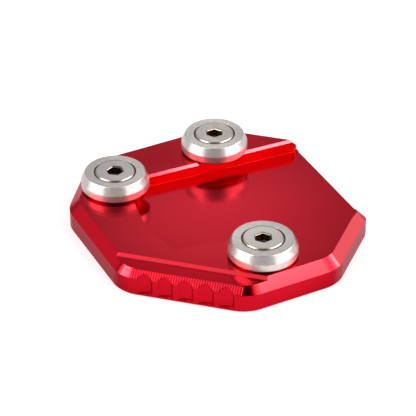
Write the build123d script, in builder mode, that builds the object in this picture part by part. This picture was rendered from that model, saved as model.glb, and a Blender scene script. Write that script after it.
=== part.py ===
import math
import os

from build123d import *

# Kickstand foot enlarger: a broad plate, clamped under a motorbike's stand foot by three washers and screws.
# Millimetres, +Z up. The origin is the middle of the plate's underside, and the fluted front side faces -Y.

# Plate blank
plate_thickness = 8.0
plate_depth = 77.9  # front side to back side
edge_chamfer = 2.8  # 45 degree chamfer round the upper edge
ground_break = 0.3  # broken edge round the underside
broad_radius = 10.0  # the well rounded corners in plan
crisp_core = 0.4  # radius that the crisp corners keep at the upper face

# The plate's other sides, anticlockwise from the front: reach from the origin, and turn from the side before
front_right_reach = 41.45
front_right_turn = 44.0
right_reach = 40.7
right_turn = 41.3
back_right_reach = 35.25
back_right_turn = 45.45
back_turn = 49.25
back_left_reach = 36.8
back_left_turn = 44.3
left_reach = 40.6
left_turn = 50.5
front_left_reach = 37.85
front_left_turn = 36.9

# Clamp axes, each by its distance from two sides
left_axis_to_left = 11.3
left_axis_to_front_left = 15.1
back_axis_to_back_left = 12.75
back_axis_to_back = 13.2
front_axis_to_front = 16.85
front_axis_to_front_right = 12.45

# Foot seat: a pocket with a tilted floor, open through the back right side
seat_depth = 3.8  # at the ledge, beside the back clamp
seat_tilt = 5.4
seat_lean_skew = 7.5  # the floor leans this far off square to the ledge
ledge_to_back_axis = 5.7
ledge_break = 0.65
ledge_nose_radius = 2.2
seat_wall_radius = 50.0  # the curved wall beside the left clamp
seat_wall_to_left_axis = 4.8
seat_wall_bearing = 17.0  # from the left clamp to the middle of the curve
seat_corner_radius = 5.0
mouth_drop = 4.6  # the bevel across the seat's open side reaches this deep at the wall
mouth_inset = 2.9  # and starts this far in at the upper face
mouth_end = 2.5  # left at the plate's right corner

# Front shelf and flutes
shelf_width = 7.05
shelf_depth = 0.82
flute_count = 5
flute_pitch = 5.63
flute_width = 4.4
flute_depth = 1.16  # where a flute comes out on the chamfer
flute_foot = 0.5  # height above the underside at which a flute ends
flute_foot_depth = 0.85
flute_offset = 0.24  # of the row, towards the front right side

# Clamp washers
washer_diameter = 19.0
washer_height = 5.0
washer_foot_break = 0.7
washer_band_top = 2.65
washer_bevel = 1.1

# Clamp screws, M6 with a countersunk head
thread_diameter = 6.0
head_diameter = 11.8
head_rim = 0.4
socket_sides = 6
socket_width = 4.0
socket_depth = 2.5
socket_lip = 0.12
tip_break = 0.8
tip_setback = 1.0  # above the underside
left_screw_turn = 6.0
back_screw_turn = 46.0
front_screw_turn = 51.0

# Clearances
shank_clearance = 0.05  # round the shank in the plate
washer_bore_clearance = 0.3  # round the shank in the washer
head_mouth_gap = 0.15  # head rim to countersink mouth
cone_clearance = 0.07  # head cone to countersink cone
graze = 0.1  # cutters past a face that they meet at a shallow angle
overrun = 10.0  # cutters past the faces they cut


def heading(angle):
    """Unit vector in plan."""
    return Vector(math.cos(math.radians(angle)), math.sin(math.radians(angle)))


def inset(side, amount):
    """A side moved towards the origin."""
    return side[0], side[1] - amount


def meeting(first, second):
    """Point in plan where two sides, each a heading of its outward normal and a reach, would meet."""
    first_normal = heading(first[0])
    second_normal = heading(second[0])
    spread = first_normal.X * second_normal.Y - first_normal.Y * second_normal.X
    x = (first[1] * second_normal.Y - second[1] * first_normal.Y) / spread
    y = (second[1] * first_normal.X - first[1] * second_normal.X) / spread
    return Vector(x, y)


# Sides and corners of the plate
front = (-90.0, plate_depth / 2)
front_right = (front[0] + front_right_turn, front_right_reach)
right = (front_right[0] + right_turn, right_reach)
back_right = (right[0] + back_right_turn, back_right_reach)
back = (back_right[0] + back_turn, plate_depth / 2)
back_left = (back[0] + back_left_turn, back_left_reach)
left = (back_left[0] + left_turn, left_reach)
front_left = (left[0] + front_left_turn, front_left_reach)
crisp_radius = edge_chamfer + crisp_core
right_corner = meeting(right, back_right)
front_left_corner = meeting(front_left, front)
front_corner = meeting(front, front_right)
corners = {
    front_left_corner: broad_radius,
    front_corner: broad_radius,
    meeting(front_right, right): broad_radius,
    right_corner: crisp_radius,
    meeting(back_right, back): crisp_radius,
    meeting(back, back_left): broad_radius,
    meeting(back_left, left): broad_radius,
    meeting(left, front_left): broad_radius,
}

# Clamp axes in plan
left_axis = meeting(inset(left, left_axis_to_left), inset(front_left, left_axis_to_front_left))
back_axis = meeting(inset(back_left, back_axis_to_back_left), inset(back, back_axis_to_back))
front_axis = meeting(inset(front, front_axis_to_front), inset(front_right, front_axis_to_front_right))
clamp_axes = {"left": left_axis, "back": back_axis, "front": front_axis}

# Ledge: square to the back right side, in front of the back clamp
along_ledge = heading(back_right[0])
across_ledge = heading(back_right[0] + 90.0)
ledge = (back_right[0] + 90.0, back_axis.dot(across_ledge) - ledge_to_back_axis)

# Curved wall of the seat, and the inner corner where it meets the ledge
seat_wall_middle = left_axis + heading(seat_wall_bearing) * (seat_wall_radius + seat_wall_to_left_axis)
middle_to_ledge = ledge[1] - seat_wall_middle.dot(across_ledge)
half_chord = math.sqrt(seat_wall_radius**2 - middle_to_ledge**2)
inner_corner = seat_wall_middle + across_ledge * middle_to_ledge - along_ledge * half_chord
inner_ray = inner_corner - seat_wall_middle
inner_bearing = math.degrees(math.atan2(inner_ray.Y, inner_ray.X)) % 360.0

# Tilted floor of the seat
lean_bearing = ledge[0] - seat_lean_skew
lean = heading(lean_bearing)
level = heading(lean_bearing - 90.0)
floor_normal = lean * math.sin(math.radians(seat_tilt)) + Vector(0, 0, math.cos(math.radians(seat_tilt)))
floor_foot = back_axis - across_ledge * ledge_to_back_axis
floor = Plane(
    origin=floor_foot + Vector(0, 0, plate_thickness - seat_depth),
    x_dir=level,
    z_dir=floor_normal,
)

# The floor comes out at the upper face along a level line; the seat's cutter stops just past that line
run_out = floor_foot.dot(lean) - seat_depth / math.tan(math.radians(seat_tilt)) - graze
run_out_from_middle = run_out - seat_wall_middle.dot(lean)
run_out_half_chord = math.sqrt(seat_wall_radius**2 - run_out_from_middle**2)
run_out_point = seat_wall_middle + lean * run_out_from_middle - level * run_out_half_chord
run_out_ray = run_out_point - seat_wall_middle
run_out_bearing = math.degrees(math.atan2(run_out_ray.Y, run_out_ray.X)) % 360.0
nose = meeting(ledge, inset(back_right, -graze))
past_back = nose + across_ledge * overrun
past_back_right = past_back + along_ledge * overrun
past_right = run_out_point + level * (right_reach + left_reach)

with BuildPart() as seat_space:
    with BuildSketch() as seat_outline:
        with BuildLine():
            Polyline(inner_corner, nose, past_back, past_back_right, past_right, run_out_point)
            CenterArc(
                seat_wall_middle,
                seat_wall_radius,
                run_out_bearing,
                inner_bearing - run_out_bearing,
            )
        make_face()
        fillet(seat_outline.vertices().sort_by_distance(inner_corner)[0], seat_corner_radius)
        fillet(seat_outline.vertices().sort_by_distance(nose)[0], ledge_nose_radius)
    extrude(amount=plate_thickness + overrun)
    split(bisect_by=floor, keep=Keep.TOP)

# Bevel across the seat's open side, from the ledge to near the plate's right corner
mouth_slope = mouth_drop / mouth_inset
mouth_plane = Plane(origin=across_ledge * ledge[1], x_dir=along_ledge, z_dir=across_ledge * -1.0)
mouth_inner = back_right_reach - mouth_inset
mouth_outer = back_right_reach + mouth_inset
with BuildPart() as mouth_bevel:
    with BuildSketch(mouth_plane):
        with BuildLine():
            Polyline(
                (mouth_inner, plate_thickness),
                (mouth_outer, plate_thickness - mouth_slope * (mouth_outer - mouth_inner)),
                (mouth_outer, plate_thickness + overrun),
                (mouth_inner, plate_thickness + overrun),
                close=True,
            )
        make_face()
    extrude(amount=ledge[1] - right_corner.dot(across_ledge) - mouth_end)

# Broken upper edge of the ledge, from the end of the inner corner's curve out through the back right side
inner_turn = inner_bearing + 90.0 - (back_right[0] + 180.0)
inner_tangent = seat_corner_radius * math.tan(math.radians(inner_turn % 180.0 / 2))
ledge_start = inner_corner + along_ledge * inner_tangent
with BuildPart() as ledge_edge:
    with BuildSketch(Plane(origin=ledge_start, x_dir=across_ledge, z_dir=along_ledge)):
        with BuildLine():
            Polyline(
                (ledge_break + graze, plate_thickness + graze),
                (-graze, plate_thickness + graze),
                (-graze, plate_thickness - ledge_break - graze),
                close=True,
            )
        make_face()
    extrude(amount=back_right_reach + overrun - ledge_start.dot(along_ledge))

# Flutes along the front side's straight stretch, each as wide at its foot but less deep there
front_left_tangent = broad_radius * math.tan(math.radians((front[0] + 360.0 - front_left[0]) / 2))
front_tangent = broad_radius * math.tan(math.radians(front_right_turn / 2))
front_middle = (front_left_corner.X + front_left_tangent + front_corner.X - front_tangent) / 2
flute_half = flute_width / 2
flute_top = plate_thickness - edge_chamfer + flute_depth
flute_slope = (flute_depth - flute_foot_depth) / (flute_top - flute_foot)
with BuildPart() as flute_cutter:
    for height in (flute_foot, plate_thickness):
        sunk = flute_foot_depth + flute_slope * (height - flute_foot)
        with BuildSketch(Plane.XY.offset(height)):
            with BuildLine():
                ThreePointArc((-flute_half, 0), (0, sunk), (flute_half, 0))
                Polyline((flute_half, 0), (flute_half, -overrun), (-flute_half, -overrun), (-flute_half, 0))
            make_face()
    loft(ruled=True)
shelf_back = shelf_width - front[1]

# Red anodised plate, milled from one blank
with BuildPart() as base_plate:
    with BuildSketch():
        with BuildLine():
            FilletPolyline(*corners.keys(), radius=list(corners.values()), close=True)
        make_face()
    extrude(amount=plate_thickness)
    chamfer(base_plate.faces().sort_by(Axis.Z)[-1].edges(), edge_chamfer)
    chamfer(base_plate.faces().sort_by(Axis.Z)[0].edges(), ground_break)
    with Locations(*clamp_axes.values()):
        Hole(thread_diameter / 2 + shank_clearance)
    with BuildSketch(Plane.YZ):
        with BuildLine():
            Polyline(
                (shelf_back + overrun, plate_thickness + overrun),
                (shelf_back - shelf_depth, plate_thickness - shelf_depth),
                (-front[1] - overrun, plate_thickness - shelf_depth),
                (-front[1] - overrun, plate_thickness + overrun),
                close=True,
            )
        make_face()
    extrude(amount=right_reach + left_reach, both=True, mode=Mode.SUBTRACT)
    with Locations((front_middle + flute_offset, -front[1])):
        with GridLocations(flute_pitch, flute_pitch, flute_count, 1):
            add(flute_cutter.part, mode=Mode.SUBTRACT)
    add(seat_space.part, mode=Mode.SUBTRACT)
    add(mouth_bevel.part, mode=Mode.SUBTRACT)
    add(ledge_edge.part, mode=Mode.SUBTRACT)

os.makedirs("parts", exist_ok=True)
base_plate.part.label = "base_plate"
export_step(base_plate.part, "parts/base_plate.step")

# Turned aluminium clamp washers, bedded on the plate's upper face with their rims over the seat
washer_radius = washer_diameter / 2
mouth_radius = head_diameter / 2 + head_mouth_gap
bore_radius = thread_diameter / 2 + washer_bore_clearance
for name, axis in clamp_axes.items():
    bed = axis + Vector(0, 0, plate_thickness)
    with BuildPart() as clamp_washer:
        with BuildSketch(Plane(origin=bed, x_dir=(1, 0, 0), z_dir=(0, -1, 0))):
            with BuildLine():
                Polyline(
                    (bore_radius, 0),
                    (washer_radius - washer_foot_break, 0),
                    (washer_radius, washer_foot_break),
                    (washer_radius, washer_band_top),
                    (washer_radius - washer_bevel, washer_height),
                    (mouth_radius, washer_height),
                    (bore_radius, washer_height - mouth_radius + bore_radius),
                    close=True,
                )
            make_face()
        revolve(axis=Axis(bed, (0, 0, 1)))
    clamp_washer.part.label = f"clamp_washer_{name}"
    export_step(clamp_washer.part, f"parts/clamp_washer_{name}.step")

# Clamp screws, through the washers and into the plate
rim_foot = plate_thickness + washer_height - head_mouth_gap + cone_clearance
head_radius = head_diameter / 2
head_top = rim_foot + head_rim
shank_radius = thread_diameter / 2
socket_corner = socket_width / 2 / math.cos(math.pi / socket_sides)
lip_radius = socket_corner + socket_lip
with BuildPart() as one_screw:
    with BuildSketch(Plane.XZ):
        with BuildLine():
            Polyline(
                (0, tip_setback),
                (shank_radius - tip_break, tip_setback),
                (shank_radius, tip_setback + tip_break),
                (shank_radius, rim_foot - head_radius + shank_radius),
                (head_radius, rim_foot),
                (head_radius - head_rim, head_top),
                (0, head_top),
                close=True,
            )
        make_face()
    revolve(axis=Axis.Z)
    with BuildSketch(Plane.XY.offset(head_top)):
        RegularPolygon(socket_width / 2, socket_sides, major_radius=False)
    extrude(amount=-socket_depth, mode=Mode.SUBTRACT)
    with BuildSketch(Plane.XZ):
        with BuildLine():
            Polyline((0, head_top), (lip_radius, head_top), (0, head_top - lip_radius), close=True)
        make_face()
    revolve(axis=Axis.Z, mode=Mode.SUBTRACT)

screw_turns = {"left": left_screw_turn, "back": back_screw_turn, "front": front_screw_turn}
with BuildPart() as clamp_screws:
    for name, axis in clamp_axes.items():
        with Locations(Location(axis, (0, 0, screw_turns[name]))):
            add(one_screw.part)
clamp_screws.part.label = "clamp_screws"
export_step(clamp_screws.part, "parts/clamp_screws.step")
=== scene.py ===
import math

import bmesh
import bpy
from mathutils import Matrix, Vector


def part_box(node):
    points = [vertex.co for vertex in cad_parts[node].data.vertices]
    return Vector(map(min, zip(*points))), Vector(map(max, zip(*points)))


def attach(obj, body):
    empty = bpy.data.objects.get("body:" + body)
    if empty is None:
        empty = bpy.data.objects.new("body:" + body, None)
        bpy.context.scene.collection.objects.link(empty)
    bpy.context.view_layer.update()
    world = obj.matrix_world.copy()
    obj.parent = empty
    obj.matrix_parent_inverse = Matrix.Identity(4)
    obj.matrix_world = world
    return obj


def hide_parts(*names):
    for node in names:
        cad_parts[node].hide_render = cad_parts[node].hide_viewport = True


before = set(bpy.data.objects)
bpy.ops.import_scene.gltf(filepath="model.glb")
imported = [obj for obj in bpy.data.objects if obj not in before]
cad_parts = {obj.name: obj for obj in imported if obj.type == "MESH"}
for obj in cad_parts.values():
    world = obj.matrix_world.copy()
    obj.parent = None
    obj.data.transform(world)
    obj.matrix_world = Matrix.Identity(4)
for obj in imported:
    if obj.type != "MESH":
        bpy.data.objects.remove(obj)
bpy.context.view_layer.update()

# The plate: one block of aluminium, milled all over, lightly satined and dyed red by anodising.
# A clear seal lies over the dye and gives a paler gleam on some chamfers and sides.
# The edges are broken by hand, and along them the red is painted paler: partly thinner dye, partly a painted
# highlight.

RED = (0.63, 0.006, 0.020, 1.0)
RED_WEAR_AND_HIGHLIGHT = (0.82, 0.10, 0.13, 1.0)
RED_SHEEN = (1.0, 0.73, 0.79, 1.0)
PLATE_ROUGH = (0.11, 0.18)
DYE_DEPTH = (0.93, 1.05)
DYE_CLOUD = 0.022
PLATE_GRAIN = 0.00016
GRAIN_DEPTH = 0.000003
SIDE_LINE_PITCH = 0.00022
SIDE_LINE_ACROSS = (0.0, 0.0, 1.0)
FACE_LINE_PITCH = 0.00030
FACE_LINE_ACROSS = (0.6528, -0.7576, 0.0)
LINE_DEPTH = 0.000004
FACE_LEAN = (0.80, 0.95)
EDGE_BREAK = 0.00014
EDGE_REACH = 2.4
EDGE_WEAR_AND_HIGHLIGHT = 0.35
FLUTE_END_RED = (0.72, 0.012, 0.03, 1.0)
FLUTE_END_ROUGH = 0.8
FLUTE_END_HIGHEST = 0.0007
FLUTE_END_LEAN = 0.7
SHELF_LOWEST = 0.0072
SHELF_HIGHEST = 0.0077
SEAL_ROUGH = 0.08
SEAL_IOR = 1.6

# How far up a face leans, from and to, with the softness of the limits.
CHAMFER_LEAN = (0.45, 0.85, 0.08)
SIDE_LEAN = (-0.2, 0.2, 0.1)
LEVEL_LEAN = (0.9965, 0.9990)

# The seal's strength, after how far a face turns to the right, from and to, with the softness of the limits.
CHAMFER_SEALS = {
    "front right": (0.43, 0.55, 0.05, 1.0),
    "right": (0.60, 1.2, 0.05, 0.70),
    "left corner": (-0.42, -0.16, 0.06, 0.38),
}
SHELF_STEP_SEALS = {"front": (-0.10, 0.06, 0.05, 0.33)}
SIDE_SEALS = {
    "left": (-1.2, -0.6, 0.08, 0.26),
    "right": (0.88, 1.2, 0.06, 0.41),
}
LEVEL_SEAL = 0.11


def new_group(name, inputs, outputs):
    """An empty node group with the given sockets, each a (kind, name, value)."""
    group = bpy.data.node_groups.new(name, "ShaderNodeTree")
    for kind, label, value in inputs:
        socket = group.interface.new_socket(label, in_out="INPUT", socket_type="NodeSocket" + kind)
        socket.default_value = value
    for kind, label in outputs:
        group.interface.new_socket(label, in_out="OUTPUT", socket_type="NodeSocket" + kind)
    return group, group.nodes.new("NodeGroupInput"), group.nodes.new("NodeGroupOutput")


def fill(tree, made, inputs):
    """Gives a node's input sockets their values or links."""
    for key, value in inputs.items():
        if isinstance(value, bpy.types.NodeSocket):
            tree.links.new(value, made.inputs[key])
        else:
            made.inputs[key].default_value = value


def node(tree, kind, inputs=None, **settings):
    """A shader node with its settings, and its input sockets by number or name."""
    made = tree.nodes.new("ShaderNode" + kind)
    for key, value in settings.items():
        setattr(made, key, value)
    fill(tree, made, inputs or {})
    return made


def vector_maths(tree, operation, first, second=(0.0, 0.0, 0.0)):
    """A Vector Math node on two vectors."""
    return node(tree, "VectorMath", {0: first, 1: second}, operation=operation)


# Satin: slow cloudiness in the finish and a fine grain left by the blasting.
satin, satin_in, satin_out = new_group(
    "satin finish",
    [("Vector", "Place", (0, 0, 0)), ("Float", "Cloud Size", 0.02), ("Float", "Grain Size", 0.0002)],
    [("Float", "Cloud"), ("Float", "Grain")],
)
cloud_place = vector_maths(satin, "DIVIDE", satin_in.outputs["Place"], satin_in.outputs["Cloud Size"])
cloud = node(satin, "TexNoise",
             {"Vector": cloud_place.outputs[0], "Scale": 1.0, "Detail": 3.0, "Roughness": 0.55})
grain_place = vector_maths(satin, "DIVIDE", satin_in.outputs["Place"], satin_in.outputs["Grain Size"])
grain = node(satin, "TexNoise", {"Vector": grain_place.outputs[0], "Scale": 1.0, "Detail": 2.0})
fill(satin, satin_out, {"Cloud": cloud.outputs["Fac"], "Grain": grain.outputs["Fac"]})


def maths(tree, operation, first, second=0.0, clamp=False):
    """Output socket of one Math node."""
    return node(tree, "Math", {0: first, 1: second}, operation=operation, use_clamp=clamp).outputs[0]


# Cutter lines: fine uneven scratches along one direction of the work.
LINE_DRIFT = 40.0
cutter_lines, lines_in, lines_out = new_group(
    "cutter lines",
    [("Vector", "Place", (0, 0, 0)), ("Vector", "Across", (0, 0, 1)), ("Float", "Pitch", 0.0003)],
    [("Float", "Height")],
)
across = vector_maths(cutter_lines, "DOT_PRODUCT", lines_in.outputs["Place"], lines_in.outputs["Across"])
steps = maths(cutter_lines, "DIVIDE", across.outputs["Value"], lines_in.outputs["Pitch"])
spread = node(cutter_lines, "CombineXYZ", {0: steps})
drift = node(cutter_lines, "VectorMath", {0: lines_in.outputs["Place"], "Scale": LINE_DRIFT},
             operation="SCALE")
line_place = vector_maths(cutter_lines, "ADD", spread.outputs[0], drift.outputs[0])
line_noise = node(cutter_lines, "TexNoise", {"Vector": line_place.outputs[0], "Scale": 1.0, "Detail": 3.0})
fill(cutter_lines, lines_out, {"Height": line_noise.outputs["Fac"]})

# Broken edges: the normal rounded over a small radius, and a mask of where it turns.
broken_edge, edge_in, edge_out = new_group(
    "broken edge",
    [("Float", "Reach", 1.0)],
    [("Vector", "Normal"), ("Float", "Edge")],
)
rounded = node(broken_edge, "Bevel", {"Radius": EDGE_BREAK}, samples=6)
flat = node(broken_edge, "NewGeometry")
agree = vector_maths(broken_edge, "DOT_PRODUCT", rounded.outputs[0], flat.outputs["Normal"])
turned = maths(broken_edge, "SUBTRACT", 1.0, agree.outputs["Value"], clamp=True)
edge_mask = maths(broken_edge, "MULTIPLY", turned, edge_in.outputs["Reach"], clamp=True)
fill(broken_edge, edge_out, {"Normal": rounded.outputs[0], "Edge": edge_mask})


def metal(name):
    """A new metal: its node tree and its Principled shader."""
    material = bpy.data.materials.new(name)
    material.use_nodes = True
    shader = material.node_tree.nodes["Principled BSDF"]
    shader.inputs["Metallic"].default_value = 1.0
    return material, material.node_tree, shader


def use_group(tree, group, inputs):
    """A group placed in a material with its own values."""
    made = tree.nodes.new("ShaderNodeGroup")
    made.node_tree = group
    fill(tree, made, inputs)
    return made


def axes(tree, vector):
    """The X, Y and Z parts of a vector."""
    return node(tree, "SeparateXYZ", {0: vector}).outputs


def ramp(tree, value, low, high, start, end, smooth=False):
    """A value that goes from start to end while another goes from low to high."""
    kind = "SMOOTHSTEP" if smooth else "LINEAR"
    made = node(tree, "MapRange", {0: value, 1: low, 2: high, 3: start, 4: end}, interpolation_type=kind)
    return made.outputs[0]


def between(tree, value, low, high, soft):
    """1 where value lies from low to high, with soft edges."""
    rise = ramp(tree, value, low - soft, low + soft, 0.0, 1.0, smooth=True)
    fall = ramp(tree, value, high - soft, high + soft, 1.0, 0.0, smooth=True)
    return maths(tree, "MULTIPLY", rise, fall)


def cloudy(tree, finish, low, high, reach):
    """A value that drifts from low to high with a finish's cloudiness."""
    return ramp(tree, finish.outputs["Cloud"], 0.5 - reach, 0.5 + reach, low, high)


def mixed(tree, amount, first, second):
    """A value part way from the first to the second."""
    return node(tree, "Mix", {0: amount, 2: first, 3: second}).outputs[0]


def painted(tree, amount, first, second, blend="MIX"):
    """A colour part way from the first to the second, or the two multiplied."""
    return node(tree, "Mix", {0: amount, 6: first, 7: second}, data_type="RGBA", blend_type=blend).outputs[2]


def bumped(tree, height, strength, depth, normal=None):
    """A normal stirred by a height."""
    inputs = {"Strength": strength, "Distance": depth, "Height": height}
    if normal:
        inputs["Normal"] = normal
    return node(tree, "Bump", inputs).outputs[0]


def sealed(tree, to_right, seals):
    """Strength of the seal, summed over the faces that turn to the right as each seal says."""
    total = 0.0
    for low, high, soft, strength in seals.values():
        gleam = maths(tree, "MULTIPLY", between(tree, to_right, low, high, soft), strength)
        total = maths(tree, "ADD", gleam, total)
    return total


CLOUD_REACH = 0.25
TONE_REACH = 0.2
red_anodised, tree, shader = metal("red anodised aluminium")
place = node(tree, "TexCoord").outputs["Object"]
spot = axes(tree, place)
turn = axes(tree, node(tree, "NewGeometry").outputs["Normal"])
finish = use_group(tree, satin, {"Place": place, "Cloud Size": DYE_CLOUD, "Grain Size": PLATE_GRAIN})
edge = use_group(tree, broken_edge, {"Reach": EDGE_REACH})

side_lines = use_group(tree, cutter_lines,
                       {"Place": place, "Across": SIDE_LINE_ACROSS, "Pitch": SIDE_LINE_PITCH})
face_lines = use_group(tree, cutter_lines,
                       {"Place": place, "Across": FACE_LINE_ACROSS, "Pitch": FACE_LINE_PITCH})
upward = ramp(tree, turn["Z"], *FACE_LEAN, 0.0, 1.0)
lines = mixed(tree, upward, side_lines.outputs[0], face_lines.outputs[0])
lined = bumped(tree, lines, strength=0.25, depth=LINE_DEPTH, normal=edge.outputs["Normal"])
grained = bumped(tree, finish.outputs["Grain"], strength=0.2, depth=GRAIN_DEPTH, normal=lined)

# Paler red along the broken edges: partly thinner dye, partly a painted highlight.
edge_wear_and_highlight = maths(tree, "MULTIPLY", edge.outputs["Edge"], EDGE_WEAR_AND_HIGHLIGHT)
shade = painted(tree, edge_wear_and_highlight, RED, RED_WEAR_AND_HIGHLIGHT)
dyed = painted(tree, 1.0, shade, cloudy(tree, finish, *DYE_DEPTH, TONE_REACH), "MULTIPLY")
flute_end = maths(tree, "MULTIPLY", maths(tree, "LESS_THAN", spot["Z"], FLUTE_END_HIGHEST),
                  maths(tree, "GREATER_THAN", turn["Z"], FLUTE_END_LEAN))
plate_red = painted(tree, flute_end, dyed, FLUTE_END_RED)
plate_rough = mixed(tree, flute_end, cloudy(tree, finish, *PLATE_ROUGH, CLOUD_REACH), FLUTE_END_ROUGH)

shelf_step = maths(tree, "MULTIPLY", sealed(tree, turn["X"], SHELF_STEP_SEALS),
                   maths(tree, "GREATER_THAN", spot["Z"], SHELF_LOWEST))
chamfers = maths(tree, "ADD", sealed(tree, turn["X"], CHAMFER_SEALS), shelf_step)
chamfer_seal = maths(tree, "MULTIPLY", between(tree, turn["Z"], *CHAMFER_LEAN), chamfers)
side_seal = maths(tree, "MULTIPLY", between(tree, turn["Z"], *SIDE_LEAN), sealed(tree, turn["X"], SIDE_SEALS))
level_seal = maths(tree, "MULTIPLY", ramp(tree, turn["Z"], *LEVEL_LEAN, 0.0, LEVEL_SEAL),
                   maths(tree, "GREATER_THAN", spot["Z"], SHELF_HIGHEST))
seal = maths(tree, "ADD", maths(tree, "ADD", chamfer_seal, side_seal), level_seal)

fill(tree, shader, {
    "Base Color": plate_red, "Roughness": plate_rough, "Normal": grained, "Specular Tint": RED_SHEEN,
    "Coat Weight": seal, "Coat Roughness": SEAL_ROUGH, "Coat IOR": SEAL_IOR,
})
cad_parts["base_plate"].data.materials.clear()
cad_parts["base_plate"].data.materials.append(red_anodised)

# Milled ribs: the front chamfer over the flutes is cut in narrow upright passes of a small round cutter.
# The fine ridges that the passes leave, eight to a flute, are part of the plate and are anodised with it.
# Their crests are painted paler than the valleys, a painted highlight along each ridge.

RIB_PITCH = 0.00070375
RIB_COUNT = 44
RIB_FIRST = -0.0132
RIB_DEPTH = 0.000005
RIB_SINK = 0.00004
RIB_END_SINK = 0.00001
RIB_STEPS = 8
RIB_HIGH = 0.00716
RIB_CREASE = 50.0
RIB_VALLEY = (0.64, 0.0, 0.012, 1.0)
RIB_CREST_HIGHLIGHT = 0.42
RIB_CREST_FROM = 0.3
CHAMFER_FOOT_Y = -0.03895
CHAMFER_FOOT_Z = 0.0052
CHAMFER_CLEAR = 0.00004
FLUTE_COUNT = 5
FLUTE_FIRST = -0.009126
FLUTE_PITCH = 0.00563
FLUTE_HALF = 0.0022
FLUTE_SUNK = 0.0010986
FLUTE_SLOPE = 0.0529

# How full a rib is along its run, from its foot to its upper end.
RIB_RUNS = ((0.0, 0.0), (0.03, 0.8), (0.08, 1.0), (0.5, 1.0), (0.93, 1.0), (0.98, 0.8), (1.0, 0.0))


def on_chamfer(x, z, rise):
    """A point over the front chamfer, at a rise square to its face."""
    lean = rise / math.sqrt(2)
    return (x, CHAMFER_FOOT_Y + z - CHAMFER_FOOT_Z - lean, z + lean)


def rib_foot(x):
    """Height at which the ribs start, at the chamfer's lower edge or over a flute."""
    aside = min(abs(x - FLUTE_FIRST - FLUTE_PITCH * k) for k in range(FLUTE_COUNT))
    sunk = max(0.0, 1 - (aside / FLUTE_HALF) ** 2)
    return CHAMFER_FOOT_Z + CHAMFER_CLEAR + FLUTE_SUNK * sunk / (1 - FLUTE_SLOPE * sunk)


def skin(name, rings, closed, crease):
    """A mesh over rings of points, with the last joined to the first or both ends shut."""
    work = bmesh.new()
    loops = [[work.verts.new(point) for point in ring] for ring in rings]
    pairs = list(zip(loops, loops[1:]))
    if closed:
        pairs.append((loops[-1], loops[0]))
    else:
        work.faces.new(loops[0][::-1])
        work.faces.new(loops[-1])
    for here, beside in pairs:
        for k in range(len(here)):
            k_next = (k + 1) % len(here)
            work.faces.new((here[k], here[k_next], beside[k_next], beside[k]))
    bmesh.ops.recalc_face_normals(work, faces=work.faces)
    mesh = bpy.data.meshes.new(name)
    work.to_mesh(mesh)
    work.free()
    mesh.shade_smooth()
    mesh.set_sharp_from_angle(angle=math.radians(crease))
    return mesh


def set_down(name, data):
    """A new object in the scene."""
    thing = bpy.data.objects.new(name, data)
    bpy.context.scene.collection.objects.link(thing)
    return thing


rib_columns = []
for step in range(RIB_COUNT * RIB_STEPS + 1):
    x = RIB_FIRST + RIB_PITCH * step / RIB_STEPS
    ridge = RIB_DEPTH * (0.5 - 0.5 * math.cos(2 * math.pi * step / RIB_STEPS))
    foot = rib_foot(x)
    column = [on_chamfer(x, foot, -RIB_SINK)]
    for run, share in RIB_RUNS:
        rise = share * ridge - (1 - share) * RIB_END_SINK
        column.append(on_chamfer(x, foot + (RIB_HIGH - foot) * run, rise))
    column.append(on_chamfer(x, RIB_HIGH, -RIB_SINK))
    rib_columns.append(column)
rib_mesh = skin("milled ribs", rib_columns, False, RIB_CREASE)

ribbed_red = red_anodised.copy()
ribbed_red.name = "red anodised ribs"
tree = ribbed_red.node_tree
spot = axes(tree, node(tree, "TexCoord").outputs["Object"])
passes = maths(tree, "DIVIDE", maths(tree, "SUBTRACT", spot["X"], RIB_FIRST), RIB_PITCH / (2 * math.pi))
# Painted highlight: the red is paler on each rib's crest.
crest_highlight = ramp(tree, maths(tree, "COSINE", passes), RIB_CREST_FROM, -1.0, 0.0, RIB_CREST_HIGHLIGHT)
fill(tree, tree.nodes["Principled BSDF"], {"Base Color": painted(tree, crest_highlight, RIB_VALLEY, RED_WEAR_AND_HIGHLIGHT)})
rib_mesh.materials.append(ribbed_red)
ribs = set_down("milled_ribs", rib_mesh)
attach(ribs, "root")

# Clamp washers: turned from aluminium bar and left natural, with a broad bevel and a countersunk bore.
# Each lies flat on the plate with its rim over the foot seat, and a screw holds it down.
# The upper face is turned finest and the upright band is left coarser; the foot and the mouth are darkened
# with painted shade.

WASHER_ALLOY = (0.88, 0.815, 0.775, 1.0)
WASHER_MOUTH_PAINTED_SHADE = (0.64, 0.58, 0.52, 1.0)
WASHER_FOOT_PAINTED_SHADE = (0.42, 0.38, 0.365, 1.0)
WASHER_RADIUS = 0.0095
WASHER_HEIGHT = 0.0050
WASHER_FOOT_BREAK = 0.0007
WASHER_BAND_TOP = 0.00265
WASHER_FLAT_RADIUS = 0.0084
WASHER_RIM_ROUND = 0.00020
WASHER_MOUTH_RADIUS = 0.00592
WASHER_MOUTH_WALL = 0.00036
WASHER_BORE_RADIUS = 0.0033
TURNED_EDGE = 0.00006
TURNED_EDGE_SHARE = 0.2
TURNED_CREASE = 40.0
ROUND_STEPS = 160
WASHER_FACE_ROUGH = (0.17, 0.26)
WASHER_BEVEL_ROUGH = (0.27, 0.36)
WASHER_BAND_ROUGH = 0.40
WASHER_FACE_LEAN = 0.96
WASHER_CLOUD = 0.006
WASHER_GRAIN = 0.00012
WASHER_RING_PITCH = 0.00016
WASHER_RING_DEPTH = 0.000008
WASHER_STREAK = 0.5
WASHER_STREAK_TURN = 0.25
SPECKLE_CLOUD = 0.0011
SPECKLE_GRAIN = 0.00034
SPECKLE_RANGE = (0.35, 0.65)
SPECKLE_TONE = (0.84, 1.06)


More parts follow.
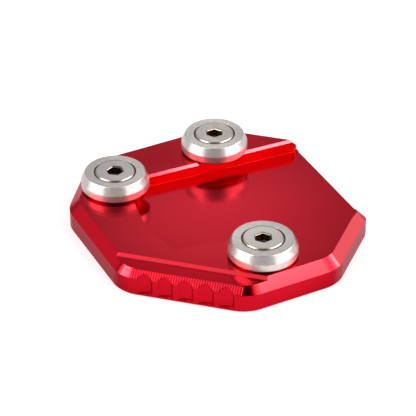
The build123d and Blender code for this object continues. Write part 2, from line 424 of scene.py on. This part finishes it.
def soften(corners, steps=4):
    """A closed profile of (radius, height, rounding) corners, each rounded as far as it says."""
    out = []
    points = [Vector(corner[:2]) for corner in corners]
    for index, here in enumerate(points):
        before = points[index - 1] - here
        after = points[(index + 1) % len(points)] - here
        reach = min(corners[index][2], before.length * TURNED_EDGE_SHARE, after.length * TURNED_EDGE_SHARE)
        start = here + before.normalized() * reach
        end = here + after.normalized() * reach
        out.append(start + before.normalized() * reach)
        for step in range(steps + 1):
            t = step / steps
            out.append(start * (1 - t) ** 2 + here * 2 * t * (1 - t) + end * t**2)
        out.append(end + after.normalized() * reach)
    return out


def circle(radius, height, steps=ROUND_STEPS):
    """One ring of points."""
    angles = [2 * math.pi * k / steps for k in range(steps)]
    return [(radius * math.cos(angle), radius * math.sin(angle), height) for angle in angles]


washer_cone_foot = WASHER_HEIGHT - WASHER_MOUTH_WALL - WASHER_MOUTH_RADIUS + WASHER_BORE_RADIUS
washer_profile = soften([
    (WASHER_BORE_RADIUS, 0.0, TURNED_EDGE),
    (WASHER_RADIUS - WASHER_FOOT_BREAK, 0.0, TURNED_EDGE),
    (WASHER_RADIUS, WASHER_FOOT_BREAK, TURNED_EDGE),
    (WASHER_RADIUS, WASHER_BAND_TOP, TURNED_EDGE),
    (WASHER_FLAT_RADIUS, WASHER_HEIGHT, WASHER_RIM_ROUND),
    (WASHER_MOUTH_RADIUS, WASHER_HEIGHT, TURNED_EDGE),
    (WASHER_MOUTH_RADIUS, WASHER_HEIGHT - WASHER_MOUTH_WALL, TURNED_EDGE),
    (WASHER_BORE_RADIUS, washer_cone_foot, TURNED_EDGE),
])
washer_mesh = skin("clamp washer", [circle(p.x, p.y) for p in washer_profile], True, TURNED_CREASE)


def axis_distance(tree, spot):
    """Distance from the piece's own axis."""
    level = node(tree, "CombineXYZ", {0: spot["X"], 1: spot["Y"]})
    return vector_maths(tree, "LENGTH", level.outputs[0]).outputs["Value"]


# Lathe lines: rings about the piece's own axis, uneven in height as a turning tool leaves them.
lathe_lines, lathe_in, lathe_out = new_group(
    "lathe lines",
    [("Vector", "Place", (0, 0, 0)), ("Float", "Pitch", 0.0002)],
    [("Float", "Height")],
)
spot = axes(lathe_lines, lathe_in.outputs["Place"])
lathe_pitch = lathe_in.outputs["Pitch"]
ring_step = maths(lathe_lines, "DIVIDE", axis_distance(lathe_lines, spot), lathe_pitch)
height_step = maths(lathe_lines, "DIVIDE", spot["Z"], lathe_pitch)
ring_place = node(lathe_lines, "CombineXYZ", {0: ring_step, 1: height_step})
ring_noise = node(lathe_lines, "TexNoise", {"Vector": ring_place.outputs[0], "Scale": 1.0, "Detail": 2.0},
                  noise_dimensions="2D")
fill(lathe_lines, lathe_out, {"Height": ring_noise.outputs["Fac"]})

turned_aluminium, tree, shader = metal("turned aluminium")
place = node(tree, "TexCoord").outputs["Object"]
spot = axes(tree, place)
turn = axes(tree, node(tree, "NewGeometry").outputs["Normal"])
from_axis = axis_distance(tree, spot)
finish = use_group(tree, satin, {"Place": place, "Cloud Size": WASHER_CLOUD, "Grain Size": WASHER_GRAIN})
rings = use_group(tree, lathe_lines, {"Place": place, "Pitch": WASHER_RING_PITCH})
ringed = bumped(tree, rings.outputs[0], strength=0.35, depth=WASHER_RING_DEPTH)
grained = bumped(tree, finish.outputs["Grain"], strength=0.15, depth=GRAIN_DEPTH, normal=ringed)

# Painted shade: the countersunk mouth and the broken foot edge are painted darker than the alloy.
in_mouth = maths(tree, "LESS_THAN", from_axis, WASHER_MOUTH_RADIUS + TURNED_EDGE / 2)
on_foot = between(tree, spot["Z"], TURNED_EDGE, WASHER_FOOT_BREAK, TURNED_EDGE)
shaded = painted(tree, in_mouth, WASHER_ALLOY, WASHER_MOUTH_PAINTED_SHADE)
footed = painted(tree, on_foot, shaded, WASHER_FOOT_PAINTED_SHADE)
speckle = use_group(tree, satin, {"Place": place, "Cloud Size": SPECKLE_CLOUD, "Grain Size": SPECKLE_GRAIN})
mottle = mixed(tree, 0.5, speckle.outputs["Cloud"], speckle.outputs["Grain"])
washer_tone = painted(tree, 1.0, footed, ramp(tree, mottle, *SPECKLE_RANGE, *SPECKLE_TONE), "MULTIPLY")

on_face = maths(tree, "GREATER_THAN", turn["Z"], WASHER_FACE_LEAN)
on_band = maths(tree, "MULTIPLY", maths(tree, "GREATER_THAN", from_axis, WASHER_RADIUS - TURNED_EDGE),
                maths(tree, "LESS_THAN", spot["Z"], WASHER_BAND_TOP))
by_cut = mixed(tree, on_face, cloudy(tree, finish, *WASHER_BEVEL_ROUGH, CLOUD_REACH),
               cloudy(tree, finish, *WASHER_FACE_ROUGH, CLOUD_REACH))
washer_rough = mixed(tree, on_band, by_cut, WASHER_BAND_ROUGH)
around = node(tree, "Tangent", direction_type="RADIAL", axis="Z")
fill(tree, shader, {
    "Base Color": washer_tone, "Roughness": washer_rough, "Normal": grained,
    "Anisotropic": WASHER_STREAK, "Anisotropic Rotation": WASHER_STREAK_TURN, "Tangent": around.outputs[0],
})
washer_mesh.materials.append(turned_aluminium)

clamp_places = {}
for side in ("left", "back", "front"):
    low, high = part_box("clamp_washer_" + side)
    clamp_places[side] = Vector(((low.x + high.x) / 2, (low.y + high.y) / 2, low.z))
    washer = set_down("turned_washer_" + side, washer_mesh)
    washer.location = clamp_places[side]
    washer.modifiers.new("even shading", "WEIGHTED_NORMAL").keep_sharp = True
    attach(washer, "root")
    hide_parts("clamp_washer_" + side)

# Clamp screws: M6 countersunk socket screws of bright plated steel, seated in the washers' cones.
# The socket is punched hexagonal. Its lip is painted near black and the ring below it grey, both painted
# shade, and its deeper walls are brown, a tinge from the plating deepened by painted shade.
# The head stands a little proud of the washer. Its side below the shoulder is painted brown as shade in the
# gap, and the bevel round its face is painted darker and warmer, a painted shade that dims its glint and
# gives it a brassy cast.

PLATED_STEEL = (0.80, 0.75, 0.715, 1.0)
SOCKET_TINGE_AND_SHADE = (0.24, 0.155, 0.105, 1.0)
SOCKET_LIP_PAINTED_SHADE = (0.010, 0.008, 0.007, 1.0)
SOCKET_RING_PAINTED_SHADE = (0.19, 0.165, 0.135, 1.0)
HEAD_SIDE_PAINTED_SHADE = (0.25, 0.205, 0.165, 1.0)
HEAD_BEVEL_WARM_SHADE = (0.50, 0.44, 0.35, 1.0)
HEAD_BEVEL_ROUGH = 0.22
HEAD_BEVEL_LEAN = (0.5, 0.9, 0.1)
STEEL_ROUGH = (0.12, 0.20)
STEEL_TONE = (0.9, 1.04)
STEEL_CLOUD = 0.003
STEEL_GRAIN = 0.0001
STEEL_GRAIN_DEPTH = 0.000004
STEEL_RING_PITCH = 0.00022
STEEL_RING_DEPTH = 0.000006
STEEL_EDGE_REACH = 2.0
HEAD_RADIUS = 0.00560
HEAD_FOOT = 0.00430
HEAD_SHOULDER = 0.00496
HEAD_TOP = 0.005319
HEAD_FACE_RADIUS = HEAD_RADIUS - HEAD_TOP + HEAD_SHOULDER
HEAD_FACE_BORDER = 0.00012
HEAD_CONE_BREAK = 0.00004
HEAD_EDGE_BREAK = 0.00003
HEAD_SHOULDER_BREAK = 0.00002
SHANK_RADIUS = 0.0030
SCREW_TIP = -0.0070
TIP_BREAK = 0.0008
SOCKET_HALF = 0.0020
SOCKET_DEPTH = 0.0025
SOCKET_LIP = 0.00016
SOCKET_RING = 0.00018
SOCKET_WIDEST = 1.36
SOCKET_POINT = 0.0006
SOCKET_POINT_RADIUS = 0.0002
DEPTH_EDGE = 0.00001
SIDE_INSET = 0.00005
SIDE_DROP = 0.00006
SCREW_TURNS = {"left": 36.0, "back": 16.0, "front": 21.0}
SCREW_STEPS = 144

# Depth under the face and width of each ring of the socket, against the hexagon's own width.
SOCKET_RINGS = (
    (0.0, 1.18), (0.0, 1.15), (SOCKET_LIP, 1.07), (SOCKET_LIP + SOCKET_RING, 0.98), (SOCKET_DEPTH, 0.98),
)


def socket_ring(height, spread):
    """One ring round the hexagon."""
    ring = []
    for k in range(SCREW_STEPS):
        angle = 2 * math.pi * k / SCREW_STEPS
        from_flat = (angle + math.pi / 6) % (math.pi / 3) - math.pi / 6
        radius = SOCKET_HALF / math.cos(from_flat) * spread
        ring.append((radius * math.cos(angle), radius * math.sin(angle), height))
    return ring


screw_outside = [
    (SHANK_RADIUS - TIP_BREAK, SCREW_TIP),
    (SHANK_RADIUS, SCREW_TIP + TIP_BREAK),
    (SHANK_RADIUS, HEAD_FOOT - HEAD_RADIUS + SHANK_RADIUS),
    (HEAD_RADIUS - HEAD_CONE_BREAK, HEAD_FOOT - HEAD_CONE_BREAK),
    (HEAD_RADIUS, HEAD_FOOT),
    (HEAD_RADIUS, HEAD_SHOULDER - HEAD_EDGE_BREAK),
    (HEAD_RADIUS - HEAD_SHOULDER_BREAK, HEAD_SHOULDER + HEAD_SHOULDER_BREAK),
    (HEAD_FACE_RADIUS + HEAD_EDGE_BREAK, HEAD_TOP - HEAD_EDGE_BREAK),
    (HEAD_FACE_RADIUS - HEAD_EDGE_BREAK, HEAD_TOP),
    (HEAD_FACE_RADIUS - HEAD_FACE_BORDER, HEAD_TOP),
]
screw_rings = [circle(radius, height, SCREW_STEPS) for radius, height in screw_outside]
screw_rings += [socket_ring(HEAD_TOP - depth, spread) for depth, spread in SOCKET_RINGS]
screw_rings.append(circle(SOCKET_POINT_RADIUS, HEAD_TOP - SOCKET_DEPTH - SOCKET_POINT, SCREW_STEPS))
screw_mesh = skin("clamp screw", screw_rings, False, TURNED_CREASE)

plated_steel, tree, shader = metal("bright plated steel")
place = node(tree, "TexCoord").outputs["Object"]
spot = axes(tree, place)
turn = axes(tree, node(tree, "NewGeometry").outputs["Normal"])
from_axis = axis_distance(tree, spot)
finish = use_group(tree, satin, {"Place": place, "Cloud Size": STEEL_CLOUD, "Grain Size": STEEL_GRAIN})
rings = use_group(tree, lathe_lines, {"Place": place, "Pitch": STEEL_RING_PITCH})
edge = use_group(tree, broken_edge, {"Reach": STEEL_EDGE_REACH})
ringed = bumped(tree, rings.outputs[0], strength=0.2, depth=STEEL_RING_DEPTH, normal=edge.outputs["Normal"])
grained = bumped(tree, finish.outputs["Grain"], strength=0.2, depth=STEEL_GRAIN_DEPTH, normal=ringed)

depth = maths(tree, "SUBTRACT", HEAD_TOP, spot["Z"])
in_socket = maths(tree, "LESS_THAN", from_axis, SOCKET_HALF * SOCKET_WIDEST)
# Painted shade in the socket, by depth: a near-black lip, a grey ring, then brown walls that also carry the
# plating's tinge.
socket_colour_and_shade = PLATED_STEEL
for band_colour, upper, lower in (
    (SOCKET_LIP_PAINTED_SHADE, DEPTH_EDGE, SOCKET_LIP),
    (SOCKET_RING_PAINTED_SHADE, SOCKET_LIP, SOCKET_LIP + SOCKET_RING),
    (SOCKET_TINGE_AND_SHADE, SOCKET_LIP + SOCKET_RING, SOCKET_DEPTH * 2),
):
    here = maths(tree, "MULTIPLY", in_socket, between(tree, depth, upper, lower, DEPTH_EDGE))
    socket_colour_and_shade = painted(tree, here, socket_colour_and_shade, band_colour)
# Painted shade: the head's side in the gap round it is painted brown.
on_side = maths(tree, "MULTIPLY", maths(tree, "GREATER_THAN", from_axis, HEAD_RADIUS - SIDE_INSET),
                maths(tree, "GREATER_THAN", depth, HEAD_TOP - HEAD_SHOULDER + SIDE_DROP))
# The bevel is painted darker and warmer, a painted shade that dims its glint.
on_bevel = maths(tree, "SUBTRACT", between(tree, turn["Z"], *HEAD_BEVEL_LEAN), in_socket, clamp=True)
with_side = painted(tree, on_side, socket_colour_and_shade, HEAD_SIDE_PAINTED_SHADE)
with_bevel = painted(tree, on_bevel, with_side, HEAD_BEVEL_WARM_SHADE)
steel_tone = painted(tree, 1.0, with_bevel, cloudy(tree, finish, *STEEL_TONE, TONE_REACH), "MULTIPLY")
steel_rough = mixed(tree, on_bevel, cloudy(tree, finish, *STEEL_ROUGH, CLOUD_REACH), HEAD_BEVEL_ROUGH)
fill(tree, shader, {"Base Color": steel_tone, "Roughness": steel_rough, "Normal": grained})
screw_mesh.materials.append(plated_steel)

for side, clamp_place in clamp_places.items():
    screw = set_down("socket_screw_" + side, screw_mesh)
    screw.location = clamp_place
    screw.rotation_euler.z = math.radians(SCREW_TURNS[side])
    screw.modifiers.new("even shading", "WEIGHTED_NORMAL").keep_sharp = True
    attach(screw, "root")
    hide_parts("clamp_screws")

# The floor: a wide sheet of pale paper under the plate, which shows white round the plate's faint shadow.
# In front of the plate the paper also glows, seen only in reflections: painted light that brightens the
# plate's gloss there.

FLOOR_PALE = (0.60, 0.60, 0.60, 1.0)
WHITE = (1.0, 1.0, 1.0, 1.0)
FLOOR_GLOW = 0.52
FLOOR_REFLECTED_GLOW = 0.32
FLOOR_REFLECTED_GLOW_REACH = (0.028, 0.040)
FLOOR_HALF = 4.0
FLOOR_DROP = 0.00002
CAMERA_HEADING = -74.2


def towards(heading, height):
    """Unit vector at a compass heading and height, both in degrees."""
    level = math.cos(math.radians(height))
    return Vector((level * math.cos(math.radians(heading)), level * math.sin(math.radians(heading)),
                   math.sin(math.radians(height))))


floor_mesh = bpy.data.meshes.new("studio floor")
work = bmesh.new()
bmesh.ops.create_grid(work, x_segments=2, y_segments=2, size=FLOOR_HALF)
work.to_mesh(floor_mesh)
work.free()
floor = set_down("studio_floor", floor_mesh)
floor.location.z = -FLOOR_DROP
paper = bpy.data.materials.new("pale paper")
paper.use_nodes = True
tree = paper.node_tree
tree.nodes.clear()
rays = node(tree, "LightPath").outputs
clear = maths(tree, "ADD", rays["Is Camera Ray"], rays["Is Transmission Ray"], clamp=True)
seen = maths(tree, "MULTIPLY", clear, FLOOR_GLOW)
place = node(tree, "TexCoord").outputs["Object"]
forward = vector_maths(tree, "DOT_PRODUCT", place, towards(CAMERA_HEADING, 0.0))
# A glow on the paper in front of the plate, seen only in reflections: painted light for the plate's gloss.
in_front = ramp(tree, forward.outputs["Value"], *FLOOR_REFLECTED_GLOW_REACH, 0.0, FLOOR_REFLECTED_GLOW, smooth=True)
gleam = maths(tree, "MULTIPLY", rays["Is Glossy Ray"], in_front)
glow = node(tree, "Emission", {"Color": WHITE, "Strength": maths(tree, "ADD", seen, gleam)})
paper_face = node(tree, "BsdfDiffuse", {"Color": FLOOR_PALE})
paper_sum = node(tree, "AddShader", {0: paper_face.outputs[0], 1: glow.outputs[0]})
node(tree, "OutputMaterial", {"Surface": paper_sum.outputs[0]})
floor_mesh.materials.append(paper)

# The lamps: a broad softbox on each side with a hot centre, and under it a low strip for the washers' bevels.
# Small fills stand at the far left and right, and two dim glows behind the plate brighten its level faces.


def softbox(name, first_end, second_end, distance, tall, radiance, fading=False):
    """A rectangular lamp that faces the plate and reaches from one end to the other.

    Each end is a heading from the camera's own and a height, in degrees. A fading lamp dims outwards.
    """
    first = towards(CAMERA_HEADING + first_end[0], first_end[1])
    second = towards(CAMERA_HEADING + second_end[0], second_end[1])
    facing_out = (first + second).normalized()
    along = (second - first).normalized()
    lamp = bpy.data.lights.new(name, "AREA")
    lamp.shape = "RECTANGLE"
    lamp.size = 2 * distance * math.tan(first.angle(second) / 2)
    lamp.size_y = tall
    lamp.energy = radiance * math.pi * lamp.size * tall
    holder = set_down(name, lamp)
    turned_to = Matrix((along, facing_out.cross(along), facing_out)).transposed()
    holder.matrix_world = Matrix.Translation(facing_out * distance) @ turned_to.to_4x4()
    holder.visible_camera = False
    if fading:
        lamp.use_nodes = True
        tree = lamp.node_tree
        spot = node(tree, "NewGeometry").outputs["Parametric"]
        from_middle = vector_maths(tree, "DISTANCE", spot, (0.5, 0.5, 0.0))
        fade = ramp(tree, from_middle.outputs["Value"], 0.0, 0.5, 1.0, 0.0, smooth=True)
        fill(tree, tree.nodes["Emission"], {"Strength": fade})


softbox("left softbox", (-35.7, 33.0), (-98.0, 30.0), distance=1.0, tall=0.90, radiance=1.2)
softbox("left hot centre", (-54.0, 51.0), (-92.0, 37.0), distance=0.98, tall=0.21, radiance=8.0)
softbox("right softbox", (38.0, 33.0), (57.0, 33.0), distance=1.0, tall=0.90, radiance=1.25)
softbox("right side softbox", (61.5, 33.0), (108.0, 30.0), distance=1.0, tall=0.90, radiance=1.05)
softbox("right hot centre", (58.0, 51.5), (112.0, 25.0), distance=0.98, tall=0.23, radiance=7.0)
softbox("left low strip", (-42.0, 7.5), (-98.0, 7.5), distance=1.0, tall=0.17, radiance=1.3)
softbox("right low strip", (42.0, 7.5), (98.0, 7.5), distance=1.0, tall=0.17, radiance=1.3)
softbox("low right fill", (108.0, 19.0), (140.0, 14.0), distance=1.0, tall=0.26, radiance=0.95)
softbox("low left fill", (-105.0, 24.0), (-131.0, 20.0), distance=0.8, tall=0.24, radiance=0.45)
softbox("back upper glow", (161.7, 35.4), (-161.9, 35.4),
        distance=0.303, tall=0.0626, radiance=0.71, fading=True)
softbox("back lower glow", (164.6, 23.6), (-161.7, 23.6),
        distance=0.302, tall=0.074, radiance=0.655, fading=True)

# The room: pale all round, a little brighter at the ceiling and dark above the camera.
# The camera itself sees it white.

ROOM_LIGHT = 0.38
room = bpy.data.worlds.new("pale room")
bpy.context.scene.world = room
room.use_nodes = True
tree = room.node_tree
tree.nodes.clear()
way = node(tree, "TexCoord").outputs["Generated"]


def patch_of_room(heading, height, outer, inner, amount):
    """Extra light of the room round one direction, fading from the inner to the outer angle."""
    near = vector_maths(tree, "DOT_PRODUCT", way, towards(CAMERA_HEADING + heading, height))
    return ramp(tree, near.outputs["Value"], math.cos(math.radians(outer)), math.cos(math.radians(inner)),
                0.0, amount, smooth=True)


ceiling = patch_of_room(heading=180.0, height=80.0, outer=42.0, inner=14.0, amount=0.35)
dark_gap = patch_of_room(heading=2.0, height=52.0, outer=32.0, inner=10.0, amount=-0.34)
walls = maths(tree, "ADD", maths(tree, "ADD", ceiling, dark_gap), ROOM_LIGHT)
seen = mixed(tree, node(tree, "LightPath").outputs["Is Camera Ray"], walls, 1.0)
room_light = node(tree, "Background", {"Color": WHITE, "Strength": seen})
node(tree, "OutputWorld", {"Surface": room_light.outputs[0]})

# The camera: a long lens in front of the plate, a little to the right and well above it.
# It looks at a point just over the middle of the plate.

CAMERA_HEIGHT = 33.5
CAMERA_DISTANCE = 0.575
CAMERA_TARGET = Vector((-0.00099, -0.00588, 0.0087))
CAMERA_NEAREST = 0.01
PICTURE_PIXELS = 416
FOCUS_PIXELS = 2087
SENSOR_MM = 36.0
lens = bpy.data.cameras.new("studio camera")
lens.sensor_width = SENSOR_MM
lens.lens = SENSOR_MM * FOCUS_PIXELS / PICTURE_PIXELS
lens.clip_start = CAMERA_NEAREST
camera = set_down("studio camera", lens)
back_way = towards(CAMERA_HEADING, CAMERA_HEIGHT)
camera.location = CAMERA_TARGET + back_way * CAMERA_DISTANCE
camera.rotation_mode = "QUATERNION"
camera.rotation_quaternion = back_way.to_track_quat("Z", "Y")
bpy.context.scene.camera = camera
bpy.context.scene.view_settings.view_transform = "Standard"
